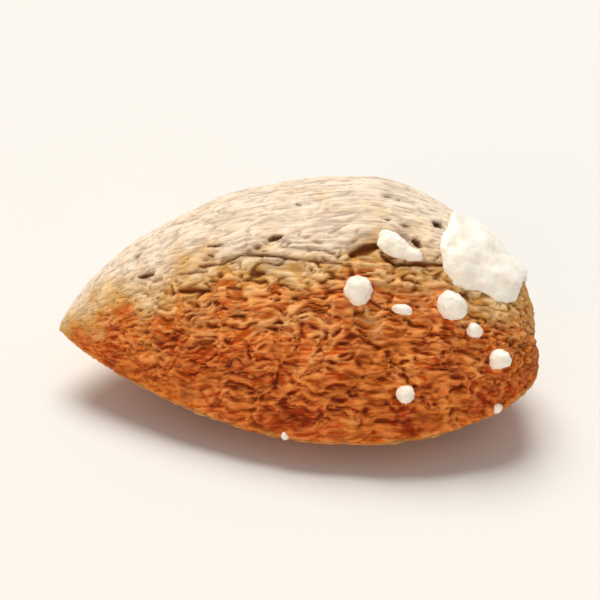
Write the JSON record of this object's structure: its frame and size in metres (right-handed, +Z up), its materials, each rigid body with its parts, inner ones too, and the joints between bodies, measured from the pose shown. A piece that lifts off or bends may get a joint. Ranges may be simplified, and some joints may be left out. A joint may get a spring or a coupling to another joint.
{
  "type": "almond",
  "caption": "Whole almond in its pale ridged shell, pointed at the tip and blunt at the stem end, lying on its flank with dried salt stuck to it.",
  "frame": {"origin": "on the surface that the nut rests on, under the middle of its outline", "axes": "+X along the nut from its pointed tip to its stem end, -Y towards its keel, +Z up"},
  "size_m": [0.036, 0.0216, 0.0157],
  "materials": {
    "shell": "roasted nut shell, fibrous and matt",
    "salt": "dried white salt, finely rough"
  },
  "bodies": {
    "root": {"shell": "shell", "salt_crust": "salt", "salt_flake": "salt", "salt_grain_1": "salt", "salt_grain_2": "salt", "salt_grain_3": "salt", "salt_grain_4": "salt", "salt_grain_5": "salt", "salt_grain_6": "salt", "salt_grain_7": "salt", "salt_grain_8": "salt"}
  },
  "joints": []
}
